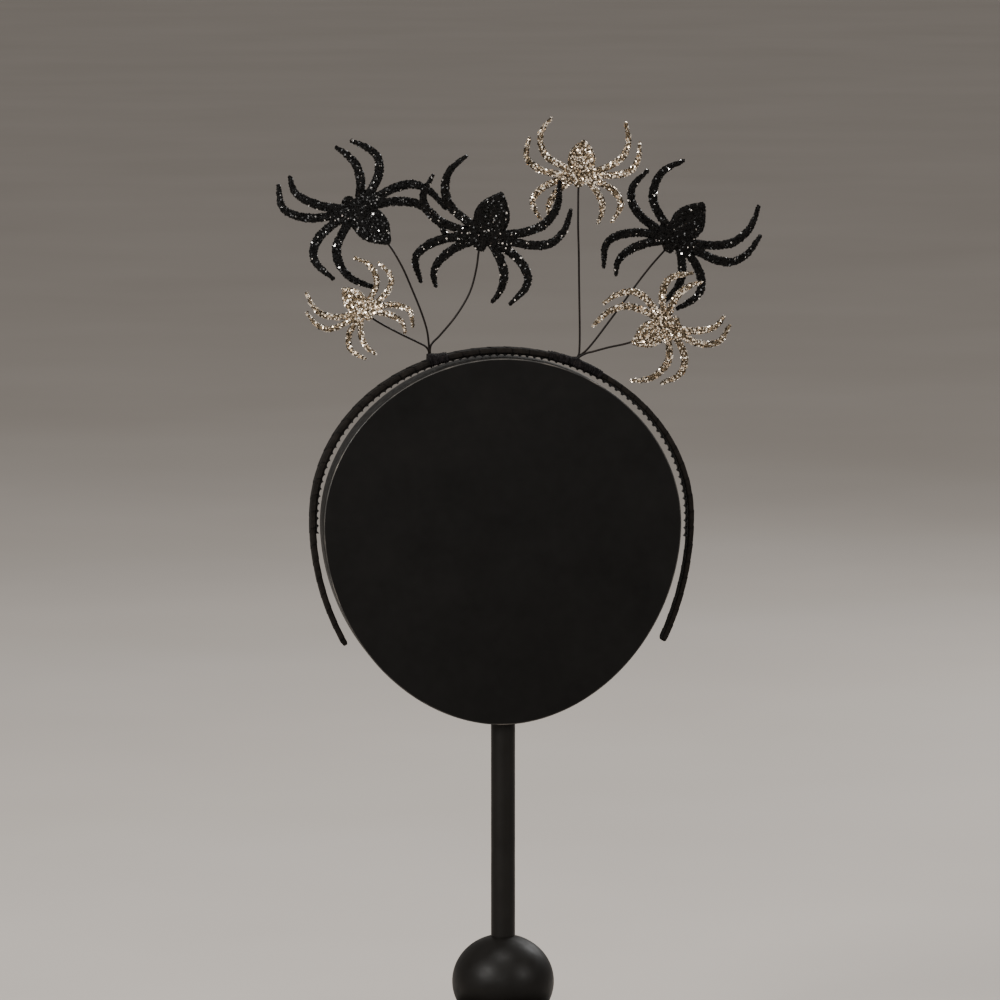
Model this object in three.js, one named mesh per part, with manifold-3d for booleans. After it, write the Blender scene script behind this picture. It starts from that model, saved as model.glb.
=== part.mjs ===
// Spider headband on a display stand
//
// Six flat glitter spiders stand on wire stems above a ribbon-wrapped hair band.
// The band rests on an egg-shaped board, on a post with a turned ball and a round base.
// Millimetres, +Z up, X across the band, Y from front to back, origin under the middle of the base.

import * as THREE from 'three';
import { mergeVertices } from 'three/addons/utils/BufferGeometryUtils.js';
import Module from 'manifold-3d';

const wasm = await Module();
wasm.setup();

// Gap between pieces that touch on the real object
const clearance = 0.3;

// Display stand. The board's middle is a little aside of the post, and so is the band's below.
const base = {
  diameter: 130,
  height: 14,
  edgeRound: 4,
  footChamfer: 1,
  neckDiameter: 18,
  neckHeight: 6,
  neckFlare: 2.5,
  socketDepth: 12,
};
const ball = {
  diameter: 40,
  height: 37,
};
const post = {
  diameter: 9.6,
  shownLength: 84,
};
const board = {
  width: 140,
  rise: 65,
  drop: 78.4,
  aside: -1,
  thickness: 18,
  riseFullness: 1.97,
  dropFullness: 1.93,
  edgeRound: 0.7,
  socketDepth: 16,
};

// Hair band: an arch over two legs that lean in, wound with ribbon
const band = {
  thickness: 1.9,
  depth: 9,
  edgeRound: 0.6,
  sideGap: 1.8,
  aside: -0.5,
  springAbove: 1.8,
  leftFullness: 2.06,
  rightFullness: 1.98,
  legDrop: 48.6,
  leftLegRadius: 100,
  rightLegRadius: 118,
  tipRound: 1.2,
  tipShare: 0.5,
  windingPitch: 6.5,
  windingStep: 0.25,
};

// Toothed strip inside the band, from a little below the widest line on each side
const comb = {
  spine: 0.3,
  tooth: 0.8,
  depth: 5.4,
  pitch: 3,
  pastLeft: 5,
  pastRight: 8,
};

// Height of the comb's edge over one tooth, as shares of its height: a point, then a round valley
const toothProfile = [1, 0.2, 0, 0.2];

// Wire stems and the bindings that tie them to the band
const wire = {
  diameter: 0.8,
};
const binding = {
  wall: 0.7,
  hook: 1.1,
  round: 0.5,
  lump: 0.12,
};

// Glitter spiders: plates cut from one outline in two sizes
const plate = {
  thickness: 1.8,
  largeSpan: 57.5,
  smallSpan: 46.5,
  stemLap: 6,
};

// Numbers of facets and of points along the curves
const detail = {
  ballRings: 10,
  ballSides: 24,
  baseSides: 36,
  baseRoundSteps: 3,
  boardSides: 56,
  rodSides: 16,
  wireSides: 6,
  wireStep: 5,
  wireLeastSteps: 4,
  turnStations: 3,
  bindingStations: 8,
  legStations: 6,
  bandSamples: 4000,
};

// Colours
const colours = {
  ribbon: 0x1c191b,
  comb: 0x0c0b0b,
  wire: 0x1a1512,
  blackGlitter: 0x0d0b0a,
  goldGlitter: 0xc9ac82,
  board: 0x181716,
  turned: 0x12100f,
};

// The eight legs from root to tip, each place as [across, ahead] in hundredths of the span.
// Across is positive to the spider's right and ahead is positive towards its head.
const legRows = [
  { root: [12, -3], rise: [28.5, -9], knee: [36.5, -19], shin: [38, -32], tip: [31.5, -45.5] },
  { root: [14, 3], rise: [31, 3.5], knee: [43, -1], shin: [48.5, -9.5], tip: [47.5, -24] },
  { root: [13, 7], rise: [25.5, 14.5], knee: [34.5, 24.5], shin: [37, 35], tip: [28, 47.5] },
  { root: [7, 8], rise: [15.5, 17], knee: [21.5, 28.5], shin: [22.5, 38], tip: [17.5, 46.5] },
  { root: [-14, -6], rise: [-25.5, -13], knee: [-35, -23.5], shin: [-38, -38], tip: [-33, -54] },
  { root: [-16, -2], rise: [-32, -5.5], knee: [-43.5, -12], shin: [-48.5, -24], tip: [-47.5, -38.5] },
  { root: [-16, 3.5], rise: [-29, 8], knee: [-38, 16.5], shin: [-38.5, 26], tip: [-33.5, 38] },
  { root: [-9, 6], rise: [-17, 13], knee: [-22.5, 21.5], shin: [-24, 31], tip: [-22, 41.5] },
];

// Leg width from root to tip, in hundredths of the span
const legWidths = [
  { along: 0, width: 5.2 },
  { along: 0.5, width: 5.8 },
  { along: 0.8, width: 4.2 },
  { along: 1, width: 2.2 },
];

// Place of a leg's hidden end inside the body, as a share of its root
const hipShare = 0.4;

// Body outline from the pointed abdomen to the head, half widths in hundredths of the span
const bodyRows = [
  { ahead: -31.5, half: 0.8 },
  { ahead: -26, half: 6 },
  { ahead: -20, half: 10.2 },
  { ahead: -14, half: 11.8 },
  { ahead: -8, half: 11.2 },
  { ahead: -2, half: 9.5 },
  { ahead: 4, half: 8 },
  { ahead: 7.5, half: 4.6 },
  { ahead: 10.4, half: 2.6 },
];

// Spray of spiders: height of the topmost spider's middle above the root of its stem
const spray = {
  height: 72.6,
};

// The two bundles: where each stands on the band, as a share of the band's half width,
// and how far its binding reaches along the band before and after that root
const bundles = {
  left: { across: -0.3755, before: 1.6, after: 8, raise: 2.2 },
  right: { across: 0.3755, before: 12, after: 11.5, raise: 1.5 },
};

// The six stems. Places are [across, up] from the root of the bundle and depths are towards the back,
// all in hundredths of the spray's height.
// lane: place of the foot between its neighbours, from front to back
// share: span of the spider as a share of its size's span
// heading, nod, roll: turn of the spider in its plane, about its width and about its length, in degrees
const stems = [
  {
    name: 'a', bundle: 'left', lane: 1, size: 'large', share: 1.01, flipped: true, held: 'tail',
    centre: [-39.1, 80], depth: 2.8, heading: 44.3, nod: -14.6, roll: 23.7,
    way: [[-0.6, 7.2], [-1.7, 15.7], [-5.4, 27.1], [-10.2, 38.7], [-16.1, 51.4]],
  },
  {
    name: 'b', bundle: 'left', lane: 0, size: 'large', share: 1, flipped: false, held: 'head',
    centre: [28.8, 67.2], depth: -5.5, heading: 159.5, nod: -13.6, roll: 8.5,
    way: [[0.3, 7.4], [5.1, 12.7], [12.3, 21.3], [18.6, 30.9], [21.9, 37.9], [24.8, 49.3]],
  },
  {
    name: 'c', bundle: 'left', lane: -1, size: 'small', share: 0.81, flipped: true, held: 'head',
    centre: [-37.7, 28.1], depth: -17.9, heading: -138.2, nod: 10.6, roll: 21.7,
    way: [[-2.2, 6.6], [-7.6, 9.8], [-17.2, 14.7]],
  },
  {
    name: 'd', bundle: 'right', lane: 1, size: 'small', share: 0.97, flipped: false, held: 'head',
    centre: [2.2, 100], depth: 2.8, heading: 174.2, nod: -18.1, roll: 14.6,
    way: [[1.7, 3.3], [2.1, 7], [2.2, 35.7], [1.9, 62.7], [1.8, 82.1]],
  },
  {
    name: 'e', bundle: 'right', lane: 0, size: 'large', share: 0.965, flipped: false, held: 'head',
    centre: [54.7, 65], depth: 5.5, heading: 141, nod: -1.4, roll: -9.1,
    way: [[1.5, 2.2], [5.8, 5.4], [24.1, 28.4], [40.6, 49.3]],
  },
  {
    name: 'f', bundle: 'right', lane: -1, size: 'small', share: 1.02, flipped: false, held: 'tail',
    centre: [47.7, 18.9], depth: -8.3, heading: -62.9, nod: 1.1, roll: 24.7,
    way: [[2.2, 2.5], [6.2, 4.4], [8.1, 4.8], [16.5, 7.2]],
  },
];

// Places worked out from the sizes above
const ballBottom = base.height + base.neckHeight + clearance;
const ballTop = ballBottom + ball.height;
const boardBottom = ballTop + post.shownLength;
const boardMiddle = boardBottom + board.drop;
const boardTop = boardMiddle + board.rise;
const bandToTeeth = clearance + comb.spine + comb.tooth;
const bandTop = boardTop + clearance + bandToTeeth + band.thickness;
const bandHalfWidth = board.width / 2 + band.sideGap + bandToTeeth + band.thickness;
const springLine = boardMiddle + band.springAbove;
const bandHalfThickness = band.thickness / 2;

// A closed solid for cutting and joining, from a three.js geometry
function toSolid(geometry) {
  const bare = geometry.clone();
  bare.deleteAttribute('normal');
  bare.deleteAttribute('uv');
  const merged = mergeVertices(bare);
  const vertProperties = new Float32Array(merged.attributes.position.array);
  const triVerts = new Uint32Array(merged.index.array);
  return new wasm.Manifold(new wasm.Mesh({ numProp: 3, vertProperties, triVerts }));
}

function fromSolid(solid) {
  const mesh = solid.getMesh();
  const geometry = new THREE.BufferGeometry();
  geometry.setAttribute('position', new THREE.BufferAttribute(mesh.vertProperties, 3));
  geometry.setIndex(new THREE.BufferAttribute(mesh.triVerts, 1));
  geometry.computeVertexNormals();
  return geometry;
}

function piece(name, geometry, colour, roughness, metalness = 0) {
  const material = new THREE.MeshStandardMaterial({ color: colour, roughness, metalness });
  const mesh = new THREE.Mesh(geometry, material);
  mesh.name = name;
  return mesh;
}

// A skin over rings of points, closed at both ends
function loft(rings) {
  const count = rings[0].length;
  const position = rings.flat().flatMap((point) => point.toArray());
  const index = [];
  for (let ring = 0; ring + 1 < rings.length; ring += 1) {
    for (let side = 0; side < count; side += 1) {
      const next = (side + 1) % count;
      const near = ring * count;
      const far = near + count;
      index.push(near + side, far + next, near + next);
      index.push(near + side, far + side, far + next);
    }
  }
  const last = (rings.length - 1) * count;
  for (let side = 1; side + 1 < count; side += 1) {
    index.push(0, side, side + 1);
    index.push(last, last + side + 1, last + side);
  }
  const geometry = new THREE.BufferGeometry();
  geometry.setAttribute('position', new THREE.Float32BufferAttribute(position, 3));
  geometry.setIndex(index);
  geometry.computeVertexNormals();
  return geometry;
}

// A flat outline in X and Z, thickened evenly to both sides of Y = 0
function slab(points, depth, bevel = 0) {
  const geometry = new THREE.ExtrudeGeometry(new THREE.Shape(points), {
    depth: depth - 2 * bevel,
    bevelEnabled: bevel > 0,
    bevelThickness: bevel,
    bevelSize: bevel,
    bevelOffset: -bevel,
    bevelSegments: 1,
  });
  geometry.translate(0, 0, bevel - depth / 2);
  geometry.rotateX(Math.PI / 2);
  return geometry;
}

// A round rod between two heights
function rod(diameter, bottom, top) {
  const length = top - bottom;
  const geometry = new THREE.CylinderGeometry(diameter / 2, diameter / 2, length, detail.rodSides);
  geometry.rotateX(Math.PI / 2);
  geometry.translate(0, 0, (bottom + top) / 2);
  return geometry;
}

// A tube along a curve
function tube(curve, diameter) {
  const steps = Math.round(curve.getLength() / detail.wireStep) + detail.wireLeastSteps;
  const circle = [];
  for (let side = 0; side < detail.wireSides; side += 1) {
    const angle = (side / detail.wireSides) * 2 * Math.PI;
    circle.push(new THREE.Vector2(Math.cos(angle), Math.sin(angle)).multiplyScalar(diameter / 2));
  }
  return new THREE.ExtrudeGeometry(new THREE.Shape(circle), { steps, extrudePath: curve });
}

// A quarter of a superellipse: [across, up] at an angle, for half axes of 1
function quarter(angle, fullness) {
  const across = Math.abs(Math.cos(angle)) ** (2 / fullness);
  const up = Math.abs(Math.sin(angle)) ** (2 / fullness);
  return [Math.sign(Math.cos(angle)) * across, up];
}

// Middle line of the band, from the tip of the left leg over the top to the tip of the right
class BandLine extends THREE.Curve {
  constructor() {
    super();
    this.arcLengthDivisions = detail.bandSamples;
    this.halfWidth = bandHalfWidth - bandHalfThickness;
    this.rise = bandTop - bandHalfThickness - springLine;
    this.legShare = 0.14;
  }

  leg(side, radius, share) {
    const angle = share * Math.asin(band.legDrop / radius);
    const across = this.halfWidth - radius * (1 - Math.cos(angle));
    return [side * across, springLine - radius * Math.sin(angle)];
  }

  arch(share) {
    const fullness = share < 0.5 ? band.leftFullness : band.rightFullness;
    const [across, up] = quarter(Math.PI * (1 - share), fullness);
    return [across * this.halfWidth, springLine + up * this.rise];
  }

  getPoint(t, target = new THREE.Vector3()) {
    let place;
    if (t < this.legShare) {
      place = this.leg(-1, band.leftLegRadius, 1 - t / this.legShare);
    } else if (t > 1 - this.legShare) {
      place = this.leg(1, band.rightLegRadius, 1 - (1 - t) / this.legShare);
    } else {
      place = this.arch((t - this.legShare) / (1 - 2 * this.legShare));
    }
    return target.set(band.aside + place[0], 0, place[1]);
  }
}

const bandLine = new BandLine();
const bandLength = bandLine.getLength();
const bandPoints = bandLine.getSpacedPoints(detail.bandSamples);

// A point at a length along the band, at a height outside its middle line and at a depth
function onBand(along, outside, depth) {
  const share = THREE.MathUtils.clamp(along / bandLength, 0, 1);
  const point = bandLine.getPointAt(share);
  const tangent = bandLine.getTangentAt(share);
  point.x -= tangent.z * outside;
  point.z += tangent.x * outside;
  point.y = depth;
  return point;
}

// Length along the band at one of its points
function lengthAt(index) {
  return (index / detail.bandSamples) * bandLength;
}

const isArch = (point) => point.z >= springLine;
const archStart = lengthAt(bandPoints.findIndex(isArch));
const archEnd = lengthAt(bandPoints.findLastIndex(isArch));

// A section of the band with cut corners: eight points round it
function section(along, { outside, inside, half, round }) {
  const corners = [
    [-half, round - inside],
    [-half, outside - round],
    [round - half, outside],
    [half - round, outside],
    [half, outside - round],
    [half, round - inside],
    [half - round, -inside],
    [round - half, -inside],
  ];
  return corners.map(([depth, height]) => onBand(along, height, depth));
}

// The band: the ribbon's turns step down a little at each edge, in a spiral round the section
function bandGeometry() {
  const turns = Math.round(bandLength / band.windingPitch);
  const stations = turns * detail.turnStations;
  const rings = [];
  for (let station = 0; station <= stations; station += 1) {
    const along = (station / stations) * bandLength;
    const toTip = Math.min(along, bandLength - along);
    const tip = Math.min(1, THREE.MathUtils.lerp(band.tipShare, 1, toTip / band.tipRound));
    const ring = section(along, {
      outside: bandHalfThickness * tip,
      inside: bandHalfThickness * tip,
      half: (band.depth / 2) * tip,
      round: band.edgeRound * tip,
    });
    const centre = onBand(along, 0, 0);
    ring.forEach((point, side) => {
      const phase = station / detail.turnStations - side / ring.length + 1;
      const sink = band.windingStep * (phase % 1);
      const inwards = centre.clone().sub(point);
      point.addScaledVector(inwards, sink / inwards.length());
    });
    rings.push(ring);
  }
  return loft(rings);
}

// The comb: a thin strip whose inner edge is cut into pointed teeth with round valleys between
function combGeometry() {
  const start = archStart - comb.pastLeft;
  const end = archEnd + comb.pastRight;
  const teeth = Math.round((end - start) / comb.pitch);
  const backHeight = -(bandHalfThickness + clearance);
  const rootHeight = backHeight - comb.spine;
  const outline = [];
  const addPoint = (share, height) => {
    const point = onBand(THREE.MathUtils.lerp(start, end, share), height, 0);
    outline.push(new THREE.Vector2(point.x, point.z));
  };
  for (let station = 0; station < teeth; station += 1) {
    addPoint(station / teeth, backHeight);
  }
  addPoint(1, backHeight);
  for (let tooth = teeth; tooth > 0; tooth -= 1) {
    toothProfile.forEach((height, step) => {
      addPoint((tooth - step / toothProfile.length) / teeth, rootHeight - comb.tooth * height);
    });
  }
  addPoint(0, rootHeight - comb.tooth);
  return slab(outline, comb.depth);
}

// Place of a bundle's root: on the outside of the band, at its distance from the middle
function bundleRoot(bundle) {
  const across = bundle.across * bandHalfWidth;
  const along = lengthAt(bandPoints.findIndex((point) => isArch(point) && point.x >= across));
  return { along, point: onBand(along, bandHalfThickness, 0) };
}

const roots = {
  left: bundleRoot(bundles.left),
  right: bundleRoot(bundles.right),
};

// A solid that follows the band past both ends of a binding, for cutting it
function bandCutter(start, end, size) {
  const rings = [];
  for (let station = 0; station <= detail.bindingStations; station += 1) {
    const share = station / detail.bindingStations;
    rings.push(section(THREE.MathUtils.lerp(start - clearance, end + clearance, share), size));
  }
  return toSolid(loft(rings));
}

// A binding: a lumpy saddle over the outside and the edges of the band, hooked under both edges.
// The stems of its bundle come up through it.
function bindingGeometry(side, stemTubes) {
  const bundle = bundles[side];
  const start = roots[side].along - bundle.before;
  const end = roots[side].along + bundle.after;
  const peak = bundle.before / (end - start);
  const seat = bandHalfThickness + clearance;
  const rings = [];
  for (let station = 0; station <= detail.bindingStations; station += 1) {
    const share = station / detail.bindingStations;
    const slope = share < peak ? share / peak : (1 - share) / (1 - peak);
    const lump = station % 2 ? binding.lump : 0;
    rings.push(section(THREE.MathUtils.lerp(start, end, share), {
      outside: seat + Math.max(binding.wall, bundle.raise * Math.sqrt(slope)) + lump,
      inside: seat + binding.wall,
      half: band.depth / 2 + clearance + binding.wall + lump,
      round: binding.round,
    }));
  }
  const hollow = bandCutter(start, end, {
    outside: seat,
    inside: seat,
    half: band.depth / 2 + clearance,
    round: band.edgeRound,
  });
  const slot = bandCutter(start, end, {
    outside: 0,
    inside: seat + binding.wall + comb.tooth,
    half: band.depth / 2 - binding.hook,
    round: binding.lump,
  });
  let solid = toSolid(loft(rings)).subtract(hollow).subtract(slot);
  for (const stemTube of stemTubes) {
    solid = solid.subtract(toSolid(stemTube));
  }
  return fromSolid(solid);
}

// Half width of a leg at a share of its length
function legHalfWidth(along) {
  const after = Math.max(1, legWidths.findIndex((row) => row.along >= along));
  const [from, to] = [legWidths[after - 1], legWidths[after]];
  const share = (along - from.along) / (to.along - from.along);
  return THREE.MathUtils.lerp(from.width, to.width, share) / 2;
}

// Outline of one leg, in hundredths of the span, with a blunt tip
function legOutline(row) {
  const hip = row.root.map((value) => value * hipShare);
  const points = [hip, row.root, row.rise, row.knee, row.shin, row.tip];
  const line = new THREE.SplineCurve(points.map(([across, ahead]) => new THREE.Vector2(across, ahead)));
  const right = [];
  const left = [];
  for (let station = 0; station <= detail.legStations; station += 1) {
    const along = station / detail.legStations;
    const place = line.getPointAt(along);
    const direction = line.getTangentAt(along);
    const across = new THREE.Vector2(direction.y, -direction.x).multiplyScalar(legHalfWidth(along));
    right.push(place.clone().add(across));
    left.unshift(place.clone().sub(across));
  }
  const tip = line.getPointAt(1).addScaledVector(line.getTangentAt(1), legHalfWidth(1));
  return [...right, tip, ...left];
}

// Outline of the body, in hundredths of the span
function bodyOutline() {
  const right = bodyRows.map((row) => new THREE.Vector2(row.half, row.ahead));
  const left = bodyRows.map((row) => new THREE.Vector2(-row.half, row.ahead)).reverse();
  return [...right, ...left];
}

// A spider plate, standing in X and Z with its head up, its back to +Y
function spiderGeometry(span, flipped) {
  const scale = new THREE.Vector2(flipped ? -span : span, span).divideScalar(100);
  const fit = (points) => points.map((point) => point.clone().multiply(scale));
  let solid = toSolid(slab(fit(bodyOutline()), plate.thickness));
  for (const row of legRows) {
    solid = solid.add(toSolid(slab(fit(legOutline(row)), plate.thickness)));
  }
  return fromSolid(solid);
}

// A place in a bundle, from hundredths of the spray's height
function sprayPoint([across, up], depth) {
  return new THREE.Vector3(across, depth, up).multiplyScalar(spray.height / 100);
}

// Span of the spider on a stem
function spiderSpan(stem) {
  return stem.share * (stem.size === 'large' ? plate.largeSpan : plate.smallSpan);
}

// Place and turn of a spider in its bundle
function spiderPlace(stem) {
  const turn = new THREE.Euler(
    THREE.MathUtils.degToRad(stem.nod),
    THREE.MathUtils.degToRad(-stem.heading),
    THREE.MathUtils.degToRad(stem.roll),
    'YXZ',
  );
  return new THREE.Matrix4().compose(
    sprayPoint(stem.centre, stem.depth),
    new THREE.Quaternion().setFromEuler(turn),
    new THREE.Vector3(1, 1, 1),
  );
}

// Line of a stem in its bundle: up from the band, by its way points, then flat behind its spider
function stemLine(stem) {
  const back = plate.thickness / 2 + clearance + wire.diameter / 2;
  const end = stem.held === 'head' ? bodyRows.at(-1).ahead : bodyRows[0].ahead;
  const edge = (end * spiderSpan(stem)) / 100;
  const matrix = spiderPlace(stem);
  const entry = new THREE.Vector3(0, back, edge).applyMatrix4(matrix);
  const inner = new THREE.Vector3(0, back, edge - Math.sign(edge) * plate.stemLap).applyMatrix4(matrix);
  const lane = stem.lane * (wire.diameter + clearance);
  const foot = new THREE.Vector3(0, lane, clearance + wire.diameter / 2);
  const reach = Math.hypot(entry.x, entry.z);
  const way = stem.way.map((place) => {
    const point = sprayPoint(place, 0);
    point.y = THREE.MathUtils.lerp(lane, entry.y, Math.hypot(point.x, point.z) / reach);
    return point;
  });
  return new THREE.CatmullRomCurve3([foot, ...way, entry, inner], false, 'centripetal');
}

// The ball, turned from below round the outside to the top and back down its bore
function ballGeometry() {
  const bore = post.diameter / 2 + clearance;
  const profile = [];
  const start = Math.asin(bore / (ball.diameter / 2));
  for (let station = 0; station <= detail.ballRings; station += 1) {
    const angle = THREE.MathUtils.lerp(start, Math.PI - start, station / detail.ballRings);
    const radius = (ball.diameter / 2) * Math.sin(angle);
    const height = (-ball.height / 2) * Math.cos(angle);
    profile.push(new THREE.Vector2(radius, height));
  }
  profile.push(profile[0].clone());
  const geometry = new THREE.LatheGeometry(profile, detail.ballSides);
  geometry.rotateX(Math.PI / 2);
  return geometry;
}

// The base: a round foot with a rounded upper edge and a short neck that the post stands in
function baseGeometry() {
  const radius = base.diameter / 2;
  const neck = base.neckDiameter / 2;
  const top = base.height + base.neckHeight;
  const profile = [
    [0, 0],
    [radius - base.footChamfer, 0],
    [radius, base.footChamfer],
    [radius, base.height - base.edgeRound],
  ];
  for (let step = 1; step <= detail.baseRoundSteps; step += 1) {
    const angle = (step / detail.baseRoundSteps) * (Math.PI / 2);
    profile.push([
      radius - base.edgeRound * (1 - Math.cos(angle)),
      base.height - base.edgeRound * (1 - Math.sin(angle)),
    ]);
  }
  profile.push([neck + base.neckFlare, base.height], [neck, base.height + base.neckFlare]);
  profile.push([neck, top], [0, top]);
  const points = profile.map(([x, y]) => new THREE.Vector2(x, y));
  const geometry = new THREE.LatheGeometry(points, detail.baseSides);
  geometry.rotateX(Math.PI / 2);
  const socket = rod(post.diameter + 2 * clearance, top - base.socketDepth, top + clearance);
  return fromSolid(toSolid(geometry).subtract(toSolid(socket)));
}

// The board: a rounder half above its widest line and a longer, slimmer half below
function boardGeometry() {
  const outline = [];
  for (let side = 0; side < detail.boardSides; side += 1) {
    const angle = (side / detail.boardSides) * 2 * Math.PI;
    const above = angle < Math.PI;
    const [across, up] = quarter(angle, above ? board.riseFullness : board.dropFullness);
    const height = above ? up * board.rise : -up * board.drop;
    outline.push(new THREE.Vector2(board.aside + (across * board.width) / 2, boardMiddle + height));
  }
  const plain = slab(outline, board.thickness, board.edgeRound);
  const socketTop = boardBottom + board.socketDepth;
  const socket = rod(post.diameter + 2 * clearance, boardBottom - post.diameter, socketTop);
  return fromSolid(toSolid(plain).subtract(toSolid(socket)));
}

function postGeometry() {
  const bottom = base.height + base.neckHeight - base.socketDepth + clearance;
  return rod(post.diameter, bottom, boardBottom + board.socketDepth - clearance);
}

function standGroup() {
  const stand = new THREE.Group();
  stand.add(piece('stand_base', baseGeometry(), colours.turned, 0.45));
  const turned = piece('stand_ball', ballGeometry(), colours.turned, 0.4);
  turned.position.z = ballBottom + ball.height / 2;
  stand.add(turned);
  stand.add(piece('stand_post', postGeometry(), colours.turned, 0.5));
  stand.add(piece('stand_board', boardGeometry(), colours.board, 0.9));
  return stand;
}

// One bundle: its stems and spiders, placed at its root on the band
function bundleGroup(side) {
  const bundle = new THREE.Group();
  bundle.position.copy(roots[side].point);
  for (const stem of stems.filter((row) => row.bundle === side)) {
    const wireTube = tube(stemLine(stem), wire.diameter);
    bundle.add(piece(`stem_${stem.name}`, wireTube, colours.wire, 0.5, 0.6));
    const colour = stem.size === 'large' ? colours.blackGlitter : colours.goldGlitter;
    const outline = spiderGeometry(spiderSpan(stem), stem.flipped);
    const spider = piece(`spider_${stem.name}`, outline, colour, 0.5, 0.3);
    spider.applyMatrix4(spiderPlace(stem));
    bundle.add(spider);
  }
  return bundle;
}

// Holes for the stems of a bundle, wider than the wire by the clearance all round
function stemHoles(side) {
  const rows = stems.filter((row) => row.bundle === side);
  return rows.map((stem) => {
    const hole = tube(stemLine(stem), wire.diameter + 2 * clearance);
    hole.translate(...roots[side].point.toArray());
    return hole;
  });
}

function headbandGroup() {
  const headband = new THREE.Group();
  headband.add(piece('band', bandGeometry(), colours.ribbon, 0.8));
  headband.add(piece('comb', combGeometry(), colours.comb, 0.6));
  for (const side of ['left', 'right']) {
    const geometry = bindingGeometry(side, stemHoles(side));
    headband.add(piece(`wrap_${side}`, geometry, colours.ribbon, 0.85));
    headband.add(bundleGroup(side));
  }
  return headband;
}

const model = new THREE.Group();
model.add(standGroup());
model.add(headbandGroup());

export default model;
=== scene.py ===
"""Looks of the spider headband on its display stand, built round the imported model.

Metres, +Z up, X across the band, Y from front to back, as in the frame.
"""

import math

import bpy
import numpy as np
from mathutils import Matrix, Vector, noise


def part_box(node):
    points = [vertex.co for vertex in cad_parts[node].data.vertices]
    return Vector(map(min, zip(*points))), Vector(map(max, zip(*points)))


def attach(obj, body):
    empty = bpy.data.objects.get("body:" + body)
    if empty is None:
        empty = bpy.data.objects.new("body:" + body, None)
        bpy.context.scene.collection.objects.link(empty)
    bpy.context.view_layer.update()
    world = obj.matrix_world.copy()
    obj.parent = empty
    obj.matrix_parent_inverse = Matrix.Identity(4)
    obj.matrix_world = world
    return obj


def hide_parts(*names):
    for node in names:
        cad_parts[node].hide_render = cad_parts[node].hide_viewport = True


MM = 0.001

# Gap between pieces that touch on the real object
CLEARANCE = 0.3 * MM

# Display stand
BALL_SIDES = 96
BALL_STEPS = 64
NECK_DIAMETER = 18 * MM
NECK_HEIGHT = 6 * MM
NECK_FLARE = 2.5 * MM
NECK_LIP = 1 * MM
NECK_LIP_CUT = 0.3
BASE_SIDES = 128
BASE_EDGE_ROUND = 4 * MM
BASE_FOOT_CHAMFER = 1 * MM
POST_SIDES = 48
POST_STEPS = 40
POST_WAIST = 0.985
POST_WAVER = 0.012
POST_WAVES_PER_METRE = 60
BOARD_SIDES = 240
BOARD_RISE = 65 * MM
BOARD_RISE_FULLNESS = 1.97
BOARD_DROP_FULLNESS = 1.93
BOARD_EDGE_ROUND = 0.4 * MM
BOARD_EDGE_STEPS = 4
BOARD_SIDE_INSET = 0.12 * MM
BOARD_SIDE_SHARES = (0.6, 0.2, -0.2, -0.6)

# Hair band: an arch over two legs that lean in
BAND_THICKNESS = 1.9 * MM
BAND_CORNER = 0.7 * MM
BAND_SPRING_ABOVE = 1.8 * MM
BAND_LEFT_FULLNESS = 2.06
BAND_RIGHT_FULLNESS = 1.98
BAND_LEFT_LEG_RADIUS = 100 * MM
BAND_RIGHT_LEG_RADIUS = 114 * MM
BAND_TIP_SIZE = 0.55
BAND_TIP_REACH = 1.2 * MM

# Ribbon wound round it, turn over turn
RIBBON_PITCH = 6.5 * MM
RIBBON_ROWS = 18
RIBBON_PUFF = 0.22 * MM
RIBBON_STEP = 0.34 * MM
RIBBON_CRINKLE = 0.2 * MM
RIBBON_SINK = 0.35
RIBBON_FALL = 0.7
RIBBON_WANDER = 0.35
RIBBON_SKEW = 0.4
RIBS_ROUND_BAND = 70

# Toothed strip inside the band
COMB_SPINE = 0.3 * MM
COMB_TOOTH = 0.8 * MM
COMB_PITCH = 3 * MM
COMB_STEPS = 10
COMB_GAP_SHARE = 0.4
COMB_EDGE_ROUND = 0.15 * MM
COMB_PAST_LEFT = 5 * MM
COMB_PAST_RIGHT = 8 * MM

# Wire stems, and the core and thread of the bindings that hold them
WIRE_DIAMETER = 0.8 * MM
THREAD_DIAMETER = 0.34 * MM
THREAD_SPACING = 0.42 * MM
THREAD_LEAN = 0.7 * MM
THREAD_STRAY = 0.2 * MM
THREAD_SIDES = 6
BINDING_SEED = 11
BINDING_CORNER = 0.9 * MM
CORE_WALL = 0.3 * MM
CORE_STEP = 0.3 * MM
CORE_LUMP = 0.22 * MM
THREAD_WALL = 0.42 * MM
WIRE_SIDES = 12
WIRE_SWAY = 0.16 * MM
WIRE_BENDS_PER_METRE = 70
WIRE_SHIFTS = (9.3, 31.7, 63.4)

# Glitter spiders: plates cut from one outline in two sizes
PLATE_THICKNESS = 1.7 * MM
LARGE_SPAN = 57.5 * MM
SMALL_SPAN = 46.5 * MM
STEM_LAP = 6 * MM
STEM_GAP = 0.1 * MM
STEM_FOOT_SHARE = 0.4
STEM_STEPS = 10
PLATE_LEAST_WIDTH = 0.2
PLATE_EASE = 0.35
PLATE_VOXEL = 0.34 * MM
PLATE_CRUST = 0.16 * MM

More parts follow.
